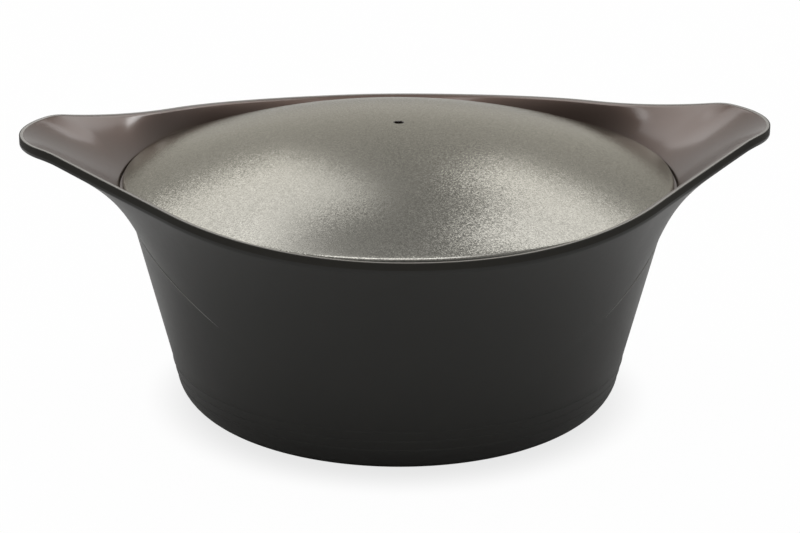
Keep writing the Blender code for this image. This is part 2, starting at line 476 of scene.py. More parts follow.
OUTSIDE_COAT = SprayedCoat(
    "satin_charcoal_coat", (0.042, 0.0415, 0.039), 0.36, ior=1.36, cloud_depth=0.06
)
BAND_COAT = SprayedCoat("rim_band_coat", (0.054, 0.052, 0.047), 0.5, ior=1.08, cloud_depth=0.05)
INSIDE_COAT = PearlCoat(
    "warm_pearl_coat",
    (0.066, 0.043, 0.034),
    0.42,
    metallic=1.0,
    cloud_size=0.05,
    cloud_depth=0.08,
    peel_size=0.0012,
    peel_depth=0.000003,
    roughness_spread=0.03,
    clear_weight=0.65,
    clear_roughness=0.15,
)
# Painted highlight: the crease bead's light grey stands for the light that the crease catches.
CREASE_HIGHLIGHT_COAT = SprayedCoat("crease_painted_highlight_coat", (0.32, 0.315, 0.30), 0.4, ior=1.4)
LAND_COAT = SprayedCoat(
    "rim_land_coat", (0.26, 0.25, 0.235), 0.36, metallic=1.0, cloud_depth=0.05, peel_depth=0.000002
)
BASE_METAL = TurnedMetal("turned_base_metal", (0.42, 0.41, 0.40), 0.34, metallic=1.0)
LID_COAT = FlakeCoat(
    "warm_grey_flake_coat", (0.192, 0.188, 0.172), 0.2, metallic=1.0, edge_tint=(0.98, 0.95, 0.87)
)
LID_INSIDE_COAT = SprayedCoat("lid_inside_coat", (0.030, 0.021, 0.017), 0.24, peel_size=0.0012)

VESSEL_FINISHES: dict[VesselZone, Finish] = {
    VesselZone.OUTSIDE: OUTSIDE_COAT,
    VesselZone.BAND: BAND_COAT,
    VesselZone.INSIDE: INSIDE_COAT,
    VesselZone.BASE: BASE_METAL,
    VesselZone.LAND: LAND_COAT,
}


def eased_corner(
    before: np.ndarray, corner: np.ndarray, after: np.ndarray, reach: float, cuts: int
) -> list[np.ndarray]:
    """Rounds a corner of a section, or of every section of a loft at once.

    Args:
        before: The point or ring before the corner.
        corner: The corner itself.
        after: The point or ring after it.
        reach: How far from the corner the rounding starts.
        cuts: How many pieces the rounding has.

    Returns:
        The points or rings of the rounding, both ends among them.
    """

    def towards(other: np.ndarray) -> np.ndarray:
        """The place at reach from the corner, but no further than just short of half way."""
        way = other - corner
        length = np.maximum(np.linalg.norm(way, axis=-1, keepdims=True), MERGE_DISTANCE)
        return corner + way * np.minimum(reach / length, LONGEST_EASE_SHARE)

    start, end = towards(before), towards(after)
    shares = [k / cuts for k in range(cuts + 1)]
    return [(1 - s) ** 2 * start + 2 * s * (1 - s) * corner + s**2 * end for s in shares]


def arc(
    centre: tuple[float, float], radius: float, start: float, end: float, cuts: int
) -> list[np.ndarray]:
    """Points on an arc.

    Args:
        centre: The centre's radius and height.
        radius: The arc's own radius.
        start: The first point's angle, from straight out.
        end: The last point's angle.
        cuts: How many pieces the arc has.

    Returns:
        The arc's points, both ends among them.
    """
    angles = [start + (end - start) * k / cuts for k in range(cuts + 1)]
    return [np.array(centre) + radius * np.array((cos(a), sin(a))) for a in angles]


def enclosed_volume(mesh: bpy.types.Mesh) -> float:
    """Measures a closed mesh.

    Args:
        mesh: The closed mesh.

    Returns:
        The volume inside it, negative where its faces point inwards.
    """
    mesh.calc_loop_triangles()
    points = np.empty(len(mesh.vertices) * 3)
    mesh.vertices.foreach_get("co", points)
    corners = np.empty(len(mesh.loop_triangles) * 3, np.int32)
    mesh.loop_triangles.foreach_get("vertices", corners)
    a, b, c = np.moveaxis(points.reshape(-1, 3)[corners.reshape(-1, 3)], 1, 0)
    return float(np.einsum("ij,ij->", a, np.cross(b, c)) / 6)


def link_object(name: str, data: bpy.types.ID) -> bpy.types.Object:
    """Puts a mesh, a lamp or a camera into the scene.

    Args:
        name: The object's name.
        data: Its mesh, lamp or camera.

    Returns:
        The new object, at the origin.
    """
    obj = bpy.data.objects.new(name, data)
    bpy.context.scene.collection.objects.link(obj)
    return obj


def make_piece(name: str, mesh: bpy.types.Mesh) -> bpy.types.Object:
    """Makes a closed mesh a piece of the pot, smooth but for its sharp edges.

    Args:
        name: The piece's name.
        mesh: Its mesh, whose faces are turned over where they point inwards.

    Returns:
        The piece's object, at the origin.
    """
    mesh.name = name
    if enclosed_volume(mesh) < 0:
        mesh.flip_normals()
    mesh.shade_smooth()
    mesh.set_sharp_from_angle(angle=SHARP_ANGLE)
    return link_object(name, mesh)


def aimed(place: Vector, direction: Vector, roll: float) -> Matrix:
    """Places something that looks along a direction, as a lamp or a camera does.

    Args:
        place: Where it stands.
        direction: Where it looks.
        roll: Degrees that it is turned about that direction.

    Returns:
        The object's matrix.
    """
    facing = direction.to_track_quat("-Z", "Y")
    turn = Quaternion((0.0, 0.0, 1.0), radians(roll))
    return Matrix.Translation(place) @ (facing @ turn).to_matrix().to_4x4()


@dataclass
class Stop:
    """One ring of a loft.

    Attributes:
        ring: Its points, one row for each station.
        zone: The finish of the strip that follows it.
        reach: How far its corner is rounded, or 0 for a plain ring.
        cuts: How many pieces the rounding has.
    """

    ring: np.ndarray
    zone: VesselZone
    reach: float = 0.0
    cuts: int = 4


@dataclass
class Vessel:
    """The casting: round foot, tapered wall, flare, rim with its two wings, ledge and cavity.

    A field that ends in reach says how far from a corner its rounding starts, and one that ends
    in cuts says how many pieces a stretch has.

    Attributes:
        tip_x: How far the wings reach from the axis.
        rim_radius: The rim's radius at the front and the back.
        highest: The height of the wings' tops.
        band_rings: The rings on the rim's band, as shares of its height from the top.
        land_rings: The rings on the rim's land: how far in, as a share of its width, and how
            far down, as a share of the lip's drop.
        pole_rings: The rings round each pole, as shares of the flat round it.
    """

    tip_x: float
    rim_radius: float
    highest: float

    rim_border: float = 0.0086
    rim_above_ledge: float = 0.0057
    rim_band: float = 0.0049
    band_rings: tuple[float, ...] = (0.7, 0.4)
    band_foot_reach: float = 0.0009
    rim_edge_reach: float = 0.0005
    rim_land: float = 0.0024
    land_rings: tuple[tuple[float, float], ...] = ((0.25, 0.01), (0.6, 0.06), (1.0, 0.2))
    land_edge_reach: float = 0.0007
    lip_width: float = 0.0012
    lip_drop: float = 0.0008
    lip_reach: float = 0.0008

    tip_radius: float = 0.0477
    waist_radius: float = 0.5
    sweep_rise: float = 0.0271
    sweep_exponent: float = 2.4
    sweep_level_share: float = 0.818
    sweep_blend_share: float = 0.052

    ledge_width: float = 0.0058
    ledge_depth: float = 0.0014
    ledge_top_reach: float = 0.0011
    ledge_corner_reach: float = 0.0004
    dish_crown_share: float = 0.3

    crease_drop: float = 0.0146
    crease_front_rise: float = 0.0105
    crease_kink_share: float = 0.4
    flare_exponent: float = 3.0

    wall: float = 0.0036
    floor: float = 0.005
    cavity_corner_radius: float = 0.016
    mouth_reach: float = 0.0007

    foot_radius: float = 0.0965
    foot_corner_radius: float = 0.0192
    foot_ring_width: float = 0.011
    foot_recess: float = 0.0008
    foot_ring_reach: float = 0.0004
    recess_slope_width: float = 0.0015
    recess_reach: float = 0.0006
    pole_rings: tuple[float, ...] = (0.25, 0.5, 0.75)

    step_count: int = 3
    step_depth: float = 0.00035
    step_spacing: float = 0.0051
    step_slope_height: float = 0.0005
    step_reach: float = 0.00018

    tip_cuts: int = 44
    waist_cuts: int = 32
    rim_cuts: int = 44
    corner_cuts: int = 16
    wall_cuts: int = 10
    flare_cuts: int = 34
    dish_cuts: int = 16

    rim_height: float = field(init=False)
    ledge_height: float = field(init=False)
    ledge_radius: float = field(init=False)
    mouth_radius: float = field(init=False)
    touch: tuple[float, float] = field(init=False)
    slope: float = field(init=False)
    top_step_height: float = field(init=False)
    crease_wing_height: float = field(init=False)
    crease_front_height: float = field(init=False)
    outline: np.ndarray = field(init=False)
    outward: np.ndarray = field(init=False)
    turns: np.ndarray = field(init=False)
    tops: np.ndarray = field(init=False)
    wingness: np.ndarray = field(init=False)

    @classmethod
    def from_frame(cls) -> Vessel:
        """A vessel with the outer sizes of the frame's node."""
        _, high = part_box("pot_body")
        return cls(tip_x=high.x, rim_radius=high.y, highest=high.z)

    def __post_init__(self) -> None:
        """Works out the heights, the wall's lean and the stations of the outline."""
        self.rim_height = self.highest - self.sweep_rise * self.sweep_level_share
        self.ledge_height = self.rim_height - self.rim_above_ledge
        self.ledge_radius = self.rim_radius - self.rim_border
        self.mouth_radius = self.ledge_radius - self.ledge_width
        self.touch, self.slope = self.wall_tangent()
        self.top_step_height = self.touch[1] + (self.step_count - 1) * self.step_spacing
        self.crease_wing_height = self.ledge_height - self.crease_drop
        self.crease_front_height = self.top_step_height + self.crease_front_rise
        self.outline, self.outward = self.full_outline()
        self.turns = np.arctan2(self.outline[:, 1], self.outline[:, 0])
        self.tops = self.top_height(self.outline[:, 0])
        self.wingness = np.cos(self.turns) ** 2

    def wall_tangent(self) -> tuple[tuple[float, float], float]:
        """Finds the line of the steps' outer edges, which touches the foot's round corner.

        Returns:
            The touching point's radius and height, and the radius gained with height.
        """
        centre = (self.foot_radius, self.foot_corner_radius)
        across = self.mouth_radius + self.wall + self.step_depth - centre[0]
        upwards = self.ledge_height - centre[1]
        normal = atan2(upwards, across) - acos(self.foot_corner_radius / hypot(across, upwards))
        touch = (
            centre[0] + self.foot_corner_radius * cos(normal),
            centre[1] + self.foot_corner_radius * sin(normal),
        )
        return touch, -tan(normal)

    def wall_radius(self, height: Any) -> Any:
        """Outside radius of the round wall at a height, above its steps."""
        return self.touch[0] - self.step_depth + (height - self.touch[1]) * self.slope

    def cavity_radius(self, height: float) -> float:
        """Radius of the cavity's straight wall at a height."""
        return self.mouth_radius - (self.ledge_height - height) * self.slope

    def full_outline(self) -> tuple[np.ndarray, np.ndarray]:
        """Draws the rim seen from above: round tip, long hollow waist and circle round the lid.

        Returns:
            The stations' places and their outward directions, counter-clockwise from the
            tip of the +X wing.
        """
        tip_centre = self.tip_x - self.tip_radius
        to_tip = self.tip_radius + self.waist_radius
        to_axis = self.rim_radius + self.waist_radius
        waist_x = (to_axis**2 - to_tip**2 + tip_centre**2) / (2 * tip_centre)
        waist_y = sqrt(to_axis**2 - waist_x**2)
        tip_end = atan2(waist_y, waist_x - tip_centre)
        rim_start = atan2(waist_y, waist_x)
        stretches = (
            (tip_centre, 0.0, self.tip_radius, 0.0, tip_end, self.tip_cuts),
            (waist_x, waist_y, -self.waist_radius, tip_end, rim_start, self.waist_cuts),
            (0.0, 0.0, self.rim_radius, rim_start, pi / 2, self.rim_cuts),
        )
        rows = []
        for x, y, radius, start, end, cuts in stretches:
            for angle in np.linspace(start, end, cuts, endpoint=False):
                along, aside = cos(angle), sin(angle)
                rows.append((x + radius * along, y + radius * aside, along, aside))
        quarter = np.array([*rows, (0.0, self.rim_radius, 0.0, 1.0)])
        half = np.vstack([quarter, quarter[-2::-1] * (-1, 1, -1, 1)])
        whole = np.vstack([half, half[-2:0:-1] * (1, -1, 1, -1)])
        return whole[:, :2], whole[:, 2:]

    def top_height(self, x: np.ndarray) -> np.ndarray:
        """Sweeps the rim's top up along the wings.

        Args:
            x: How far along the wings each station lies.

        Returns:
            The top's height, level at the front, swept up along the wing and level again.
        """
        sweep = self.sweep_rise * (np.abs(x) / self.tip_x) ** self.sweep_exponent
        level = self.sweep_rise * self.sweep_level_share
        blend = self.sweep_rise * self.sweep_blend_share
        near = np.maximum(blend - np.abs(sweep - level), 0.0)
        return self.rim_height + np.minimum(sweep, level) - near**2 / (4 * blend)

    def ring_at(self, radius: Any, height: Any) -> np.ndarray:
        """A ring round the axis, level where radius and height are numbers."""
        heights = np.broadcast_to(height, self.turns.shape)
        return np.column_stack([radius * np.cos(self.turns), radius * np.sin(self.turns), heights])

    def rim_ring(self, inset: float, drop: float) -> np.ndarray:
        """The winged outline, moved inwards and lowered from the rim's top."""
        return np.column_stack([self.outline - inset * self.outward, self.tops - drop])

    def crease_height(self) -> np.ndarray:
        """Height of the crease at each station."""
        climb = self.crease_wing_height - self.crease_front_height
        return self.crease_front_height + climb * self.wingness

    def wall_ring(self, share: float) -> np.ndarray:
        """A line round the wall: the top step at share 0 and the crease at share 1."""
        height = self.top_step_height + (self.crease_height() - self.top_step_height) * share
        return self.ring_at(self.wall_radius(height), height)

    def flare_ring(self, share: float) -> np.ndarray:
        """Draws a line on the flare.

        Args:
            share: 0 for the crease and 1 for the band's lower edge.

        Returns:
            The line's points.
        """
        band_foot = self.tops - self.rim_band
        crease = self.crease_height()
        height = crease + (band_foot - crease) * share
        reach = np.hypot(*self.outline.T) - self.wall_radius(band_foot)
        kink = self.crease_kink_share * self.wingness
        grown = kink * share + (1 - kink) * share**self.flare_exponent
        return self.ring_at(self.wall_radius(height) + reach * grown, height)

    def dish_ring(self, share: float) -> np.ndarray:
        """Draws a line on the dished top.

        Args:
            share: 0 for the ledge's outer edge and 1 for the lip.

        Returns:
            The line's points.
        """
        inner = self.ring_at(self.ledge_radius, self.ledge_height + self.ledge_depth)
        outer = self.rim_ring(self.rim_land + self.lip_width, self.lip_drop)
        risen = share + self.dish_crown_share * share * (1 - share)
        return inner + (outer - inner) * np.array((share, share, risen))

    def foot_stops(self) -> list[Stop]:
        """Lists the rings of the underside, the foot with its round corner, and the fine steps.

        Returns:
            The stops in order, from the underside's middle outwards and up.
        """
        base, outside = VesselZone.BASE, VesselZone.OUTSIDE
        ring_inside = self.foot_radius - self.foot_ring_width
        recess = ring_inside - self.recess_slope_width
        flat = [self.ring_at(recess * share, self.foot_recess) for share in (*self.pole_rings, 1.0)]
        stops = [Stop(ring, base) for ring in flat[:-1]]
        stops.append(Stop(flat[-1], base, self.recess_reach, cuts=3))
        stops.append(Stop(self.ring_at(ring_inside, 0.0), base, self.foot_ring_reach, cuts=3))
        centre = (self.foot_radius, self.foot_corner_radius)
        corner_end = atan2(self.touch[1] - centre[1], self.touch[0] - centre[0])
        corner = arc(centre, self.foot_corner_radius, -pi / 2, corner_end, self.corner_cuts)
        stops += [Stop(self.ring_at(radius, height), outside) for radius, height in corner[:-1]]
        for step in range(self.step_count):
            height = self.touch[1] + step * self.step_spacing
            edge = self.ring_at(self.wall_radius(height) + self.step_depth, height)
            stops.append(Stop(edge, outside, self.step_reach, cuts=3))
            height += self.step_slope_height
            inner = self.ring_at(self.wall_radius(height), height)
            stops.append(Stop(inner, outside, self.step_reach, cuts=2))
        return stops

    def wall_stops(self) -> list[Stop]:
        """Lists the rings of the wall up to the crease, the flare and the band round the rim.

        Returns:
            The stops in order, upwards.
        """
        outside, band = VesselZone.OUTSIDE, VesselZone.BAND
        shares = [k / self.wall_cuts for k in range(1, self.wall_cuts + 1)]
        stops = [Stop(self.wall_ring(share), outside) for share in shares]
        shares = [k / self.flare_cuts for k in range(1, self.flare_cuts)]
        stops += [Stop(self.flare_ring(share), outside) for share in shares]
        stops.append(Stop(self.flare_ring(1.0), outside, self.band_foot_reach, cuts=5))
        stops += [Stop(self.rim_ring(0.0, self.rim_band * share), band) for share in self.band_rings]
        return stops

    def top_stops(self) -> list[Stop]:
        """Lists the rings of the land round the rim, the lip, the dished top and the ledge.

        Returns:
            The stops in order, inwards.
        """
        inside, land = VesselZone.INSIDE, VesselZone.LAND
        lands = [
            self.rim_ring(self.rim_land * across, self.lip_drop * down)
            for across, down in self.land_rings
        ]
        stops = [Stop(self.rim_ring(0.0, 0.0), VesselZone.BAND, self.rim_edge_reach, cuts=6)]
        stops += [Stop(ring, land) for ring in lands[:-1]]
        stops.append(Stop(lands[-1], inside, self.land_edge_reach, cuts=4))
        stops.append(Stop(self.dish_ring(1.0), inside, self.lip_reach, cuts=3))
        shares = [k / self.dish_cuts for k in range(self.dish_cuts - 1, 0, -1)]
        stops += [Stop(self.dish_ring(share), inside) for share in shares]
        stops.append(Stop(self.dish_ring(0.0), inside, self.ledge_top_reach, cuts=5))
        ledge = self.ring_at(self.ledge_radius, self.ledge_height)
        stops.append(Stop(ledge, inside, self.ledge_corner_reach, cuts=3))
        return stops

    def cavity_stops(self) -> list[Stop]:
        """Lists the rings of the rounded mouth, the cavity's wall, its round corner and floor.

        Returns:
            The stops in order, down and then inwards.
        """
        inside = VesselZone.INSIDE
        mouth = self.ring_at(self.mouth_radius, self.ledge_height)
        stops = [Stop(mouth, inside, self.mouth_reach, cuts=4)]
        centre_height = self.floor + self.cavity_corner_radius
        lean = atan2(-self.slope, 1.0)
        centre_radius = self.cavity_radius(centre_height) - self.cavity_corner_radius / cos(lean)
        centre = (centre_radius, centre_height)
        corner = arc(centre, self.cavity_corner_radius, lean, -pi / 2, self.corner_cuts)
        top, bottom = self.ledge_height, corner[0][1]
        for k in range(1, self.wall_cuts):
            height = top + (bottom - top) * k / self.wall_cuts
            stops.append(Stop(self.ring_at(self.cavity_radius(height), height), inside))
        stops += [Stop(self.ring_at(radius, height), inside) for radius, height in corner]
        radii = [centre_radius * share for share in reversed(self.pole_rings)]
        stops += [Stop(self.ring_at(radius, self.floor), inside) for radius in radii]
        return stops

    @staticmethod
    def eased(stops: Sequence[Stop]) -> list[Stop]:
        """Rounds the corners of a loft.

        Args:
            stops: The loft's stops in order.

        Returns:
            Plain stops, with the rings of its rounding for each stop that has a reach.
        """
        rings = []
        for k, stop in enumerate(stops):
            if not stop.reach:
                rings.append(stop)
                continue
            before, after = stops[k - 1].ring, stops[k + 1].ring
            corner = eased_corner(before, stop.ring, after, stop.reach, stop.cuts)
            rings += [Stop(ring, stop.zone) for ring in corner]
        return rings

    def mesh(self) -> bpy.types.Mesh:
        """Lofts the closed mesh.

        Returns:
            A mesh of quads with a fan at each pole, and the zone of each face as its
            material number.
        """
        stops = self.foot_stops() + self.wall_stops() + self.top_stops() + self.cavity_stops()
        stops = self.eased(stops)
        count = len(self.turns)
        points = np.vstack([stop.ring for stop in stops])
        around = np.arange(count)
        after = np.roll(around, -1)
        faces: list[tuple[int, ...]] = []
        zones: list[int] = []
        for row, stop in enumerate(stops[:-1]):
            low, high = row * count, (row + 1) * count
            strip = np.column_stack([low + around, low + after, high + after, high + around])
            faces += map(tuple, strip.tolist())
            zones += [stop.zone.value] * count
        first, last = len(points), len(points) + 1
        end = (len(stops) - 1) * count
        faces += [(first, int(b), int(a)) for a, b in zip(around, after)]
        faces += [(last, end + int(a), end + int(b)) for a, b in zip(around, after)]
        zones += [VesselZone.BASE.value] * count + [VesselZone.INSIDE.value] * count
        poles = [(0.0, 0.0, self.foot_recess), (0.0, 0.0, self.floor)]
        mesh = bpy.data.meshes.new("vessel_casting")
        mesh.from_pydata([*points.tolist(), *poles], [], faces)
        for zone in VesselZone:
            mesh.materials.append(VESSEL_FINISHES[zone].material())
        mesh.polygons.foreach_set("material_index", zones)
        return mesh

    def build(self) -> bpy.types.Object:
        """Makes the vessel.

        Returns:
            Its piece, which rides on its body and stands for the CAD node.
        """
        obj = make_piece("vessel_casting", self.mesh())
        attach(obj, "vessel")
        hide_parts("pot_body")
        return obj


@dataclass
class GeometryTree:
    """A Geometry Nodes tree with named inputs, and the modifier that runs it once.

    Attributes:
        name: The tree's name.
        tree: The tree itself.
        sketch: Adds the tree's nodes.
        inside: The node that gives the inputs inside the tree.
        identifiers: Each input's identifier by its name.
    """

    name: str
    tree: bpy.types.NodeTree = field(init=False)
    sketch: NodeSketch = field(init=False)
    inside: bpy.types.Node = field(init=False)
    identifiers: dict[str, str] = field(init=False, default_factory=dict)

    def __post_init__(self) -> None:
        """Makes the empty tree with its geometry in and out."""
        self.tree = bpy.data.node_groups.new(self.name, "GeometryNodeTree")
        self.sketch = NodeSketch(self.tree)
        geometry = "NodeSocketGeometry"
        self.add_input("Geometry", geometry)
        self.tree.interface.new_socket("Geometry", in_out="OUTPUT", socket_type=geometry)
        self.inside = self.sketch.node("NodeGroupInput")

    def add_input(self, name: str, kind: str) -> None:
        """Adds a named input to the tree."""
        socket = self.tree.interface.new_socket(name, in_out="INPUT", socket_type=kind)
        self.identifiers[name] = socket.identifier

    def value(self, name: str) -> Signal:
        """A named input as a signal inside the tree."""
        return self.sketch.signal(self.inside, name)

    def attribute(self, name: str) -> Signal:
        """A stored number as a signal inside the tree."""
        kind = "GeometryNodeInputNamedAttribute"
        return self.sketch.signal(self.sketch.node(kind, {"data_type": "FLOAT"}, {"Name": name}))

    def close(self, geometry: bpy.types.NodeSocket, finishes: Mapping[str, Any]) -> None:
        """Ends the tree: makes instances real, gives the faces their finishes and leads out.

        Args:
            geometry: The finished geometry.
            finishes: Which faces get the finish of each named input, in order.
        """
        node = self.sketch.node("GeometryNodeRealizeInstances", {}, {"Geometry": geometry})
        for name, faces in finishes.items():
            node = self.sketch.node(
                "GeometryNodeSetMaterial",
                {},
                {"Geometry": node.outputs[0], "Selection": faces, "Material": self.value(name)},
            )
        self.sketch.node("NodeGroupOutput", {}, {"Geometry": node.outputs[0]})

    def bake(self, source: bpy.types.Mesh, values: Mapping[str, Any]) -> bpy.types.Mesh:
        """Runs the tree on a mesh.

        Args:
            source: The mesh that the tree starts from.
            values: The value of each named input.

        Returns:
            The result as a plain mesh.
        """
        carrier = link_object(self.name, source)
        modifier = carrier.modifiers.new(self.name, "NODES")
        modifier.node_group = self.tree
        for name, value in values.items():
            modifier[self.identifiers[name]] = value
        graph = bpy.context.evaluated_depsgraph_get()
        mesh = bpy.data.meshes.new_from_object(carrier.evaluated_get(graph))
        carrier.modifiers.remove(modifier)
        bpy.data.objects.remove(carrier)
        return mesh


def turning_tree() -> GeometryTree:
    """Makes the tree that turns a section about the axis.

    Returns:
        A tree whose geometry input is the section: points in order, with the radius as X and
        the height as Z. Its strips before the named one get the outer finish.
    """
    made = GeometryTree("turned_section")
    for name in ("Steps", "Section Points", "Outer Strips"):
        made.add_input(name, "NodeSocketInt")
    for name in ("Outer Finish", "Inner Finish"):
        made.add_input(name, "NodeSocketMaterial")
    sketch = made.sketch
    steps = made.value("Steps")
    grid = sketch.node(
        "GeometryNodeMeshGrid",
        {},
        {"Vertices X": made.value("Section Points"), "Vertices Y": steps + 1},
    )
    index = sketch.signal(sketch.node("GeometryNodeInputIndex"))
    strip = (index / steps).applied("FLOOR")
    marked = sketch.node(
        "GeometryNodeStoreNamedAttribute",
        {"data_type": "FLOAT", "domain": "FACE"},
        {"Geometry": grid.outputs["Mesh"], "Name": "strip", "Value": strip},
    )
    row = (index / (steps + 1)).applied("FLOOR")
    angle = (index - row * (steps + 1)) * (2 * pi) / steps
    position = sketch.node("GeometryNodeInputPosition").outputs[0]
    sample = sketch.node(
        "GeometryNodeSampleIndex",
        {"data_type": "FLOAT_VECTOR", "domain": "POINT"},
        {"Geometry": made.inside.outputs["Geometry"], "Value": position, "Index": row},
    )
    place = sketch.node("ShaderNodeSeparateXYZ", {}, {0: sample.outputs["Value"]})
    radius, height = sketch.signal(place, "X"), sketch.signal(place, "Z")
    along, aside = angle.applied("COSINE"), angle.applied("SINE")
    turned = sketch.node(
        "ShaderNodeCombineXYZ", {}, {"X": radius * along, "Y": radius * aside, "Z": height}
    )
    placed = sketch.node(
        "GeometryNodeSetPosition",
        {},
        {"Geometry": marked.outputs["Geometry"], "Position": turned.outputs[0]},
    )
    closed = sketch.node(
        "GeometryNodeMergeByDistance",
        {},
        {"Geometry": placed.outputs["Geometry"], "Distance": MERGE_DISTANCE},
    )
    is_outer = sketch.node(
        "FunctionNodeCompare",
        {"data_type": "FLOAT", "operation": "LESS_THAN"},
        {"A": made.attribute("strip"), "B": made.value("Outer Strips")},
    )
    finishes = {"Inner Finish": True, "Outer Finish": is_outer.outputs["Result"]}
    made.close(closed.outputs["Geometry"], finishes)
    return made


@dataclass
class Lid:
    """The domed lid: a shallow dome with a round shoulder, a skirt below and a steam vent.

    Attributes:
        radius: The lid's outer radius.
        skirt_foot: The height of the skirt's lower edge.
        mouth_radius: The radius of the vessel's mouth, which the skirt hangs in.
        mouth_height: The height of the ledge that the lid rests on.
        wall_slope: How much the cavity's radius grows with height.
        seat: The height of the face that lies on the ledge.
        sphere: The radius of the sphere that the dome is cut from.
        sphere_height: The height of that sphere's centre.
    """

    radius: float
    skirt_foot: float
    mouth_radius: float
    mouth_height: float
    wall_slope: float

    skirt_depth: float = 0.0045
    skirt_thickness: float = 0.0026
    skirt_clearance: float = 0.0008
    edge_height: float = 0.0035
    dome_rise: float = 0.0259
    thickness: float = 0.0028
    shoulder_radius: float = 0.0022
    edge_reach: float = 0.0008
    vent_diameter: float = 0.005
    vent_chamfer: float = 0.0003

    dome_cuts: int = 64
    shoulder_cuts: int = 8
    inner_cuts: int = 40
    edge_cuts: int = 4
    steps: int = 288

    seat: float = field(init=False)
    sphere: float = field(init=False)
    sphere_height: float = field(init=False)

    @classmethod
    def from_frame(cls, vessel: Vessel) -> Lid:
        """Makes a lid with the outer sizes of the frame's node.

        Args:
            vessel: The casting that the lid lies in.

        Returns:
            The lid, hung in the vessel's mouth.
        """
        low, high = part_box("lid")
        return cls(
            radius=high.x,
            skirt_foot=low.z,
            mouth_radius=vessel.mouth_radius,
            mouth_height=vessel.ledge_height,
            wall_slope=vessel.slope,
        )

    def __post_init__(self) -> None:
        """Works out the seat's height and the dome's sphere."""
        self.seat = self.skirt_foot + self.skirt_depth
        self.sphere = (self.radius**2 + self.dome_rise**2) / (2 * self.dome_rise)
        self.sphere_height = self.seat + self.edge_height + self.dome_rise - self.sphere

    def outer_section(self) -> list[np.ndarray]:
        """Draws the section from the vent's edge over the dome and the shoulder to the seat.

        Returns:
            The points in order.
        """
        centre = (0.0, self.sphere_height)
        shoulder_out = self.radius - self.shoulder_radius
        shoulder_rise = sqrt((self.sphere - self.shoulder_radius) ** 2 - shoulder_out**2)
        shoulder_centre = (shoulder_out, self.sphere_height + shoulder_rise)
        dome_end = atan2(shoulder_rise, shoulder_out)
        dome_start = acos((self.vent_diameter / 2 + self.vent_chamfer) / self.sphere)
        dome = arc(centre, self.sphere, dome_start, dome_end, self.dome_cuts)
        shoulder = arc(shoulder_centre, self.shoulder_radius, dome_end, 0.0, self.shoulder_cuts)
        corner = np.array((self.radius, self.seat))
        under = np.array((self.radius - self.skirt_clearance, self.seat))
        edge = eased_corner(shoulder[-1], corner, under, self.edge_reach, self.edge_cuts)
        return dome + shoulder[1:] + edge

    def inner_section(self, vent_top: float) -> list[np.ndarray]:
        """Draws the section from the seat down round the skirt and up below the dome.

        Args:
            vent_top: The height of the vent's chamfer.

        Returns:
            The points in order, the last one in the vent below its chamfer.
        """
        drop = self.mouth_height - self.skirt_foot
        skirt_out = self.mouth_radius - drop * self.wall_slope - self.skirt_clearance
        skirt_in = skirt_out - self.skirt_thickness
        inner = self.sphere - self.thickness
        vent = self.vent_diameter / 2
        start, end = acos(skirt_in / inner), acos(vent / inner)
        ceiling = arc((0.0, self.sphere_height), inner, start, end, self.inner_cuts)
        path = [
            np.array((self.radius - self.skirt_clearance, self.seat)),
            np.array((skirt_out, self.seat)),
            np.array((skirt_out, self.skirt_foot)),
            np.array((skirt_in, self.skirt_foot)),
            ceiling[0],
            ceiling[2],
        ]
        points: list[np.ndarray] = []
        for before, corner, after in zip(path, path[1:], path[2:]):
            points += eased_corner(before, corner, after, self.edge_reach, self.edge_cuts)
        return [*points, *ceiling[2:], np.array((vent, vent_top))]

    def build(self) -> bpy.types.Object:
        """Turns the section and makes the lid.

        Returns:
            Its piece, which rides on its body and stands for the CAD node.
        """
        outer = self.outer_section()
        inner = self.inner_section(outer[0][1] - self.vent_chamfer)
        section = [*outer, *inner, outer[0]]
        source = bpy.data.meshes.new("lid_section")
        source.from_pydata([(radius, 0.0, height) for radius, height in section], [], [])
        values = {
            "Steps": self.steps,
            "Section Points": len(section),
            "Outer Strips": len(outer) - 1,
            "Outer Finish": LID_COAT.material(),
            "Inner Finish": LID_INSIDE_COAT.material(),
        }
        obj = make_piece("domed_lid", turning_tree().bake(source, values))
        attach(obj, "lid")
        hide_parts("lid")
        return obj


def bead_tree() -> GeometryTree:
    """Makes the tree that lays a round bead along a closed path.

    Returns:
        A tree whose geometry input is the path, with the bead's radius at each point in the
        attribute "thickness".
    """
    made = GeometryTree("bead_on_path")
    made.add_input("Sides", "NodeSocketInt")
    made.add_input("Finish", "NodeSocketMaterial")
    sketch = made.sketch
    path = sketch.node("GeometryNodeMeshToCurve", {}, {"Mesh": made.inside.outputs["Geometry"]})
    section = sketch.node(
        "GeometryNodeCurvePrimitiveCircle",
        {"mode": "RADIUS"},
        {"Resolution": made.value("Sides"), "Radius": 1.0},
    )
    tube = sketch.node(
        "GeometryNodeCurveToMesh",
        {},
        {
            "Curve": path.outputs["Curve"],
            "Profile Curve": section.outputs["Curve"],
            "Scale": made.attribute("thickness"),
        },
    )
    made.close(tube.outputs["Mesh"], {"Finish": True})
    return made


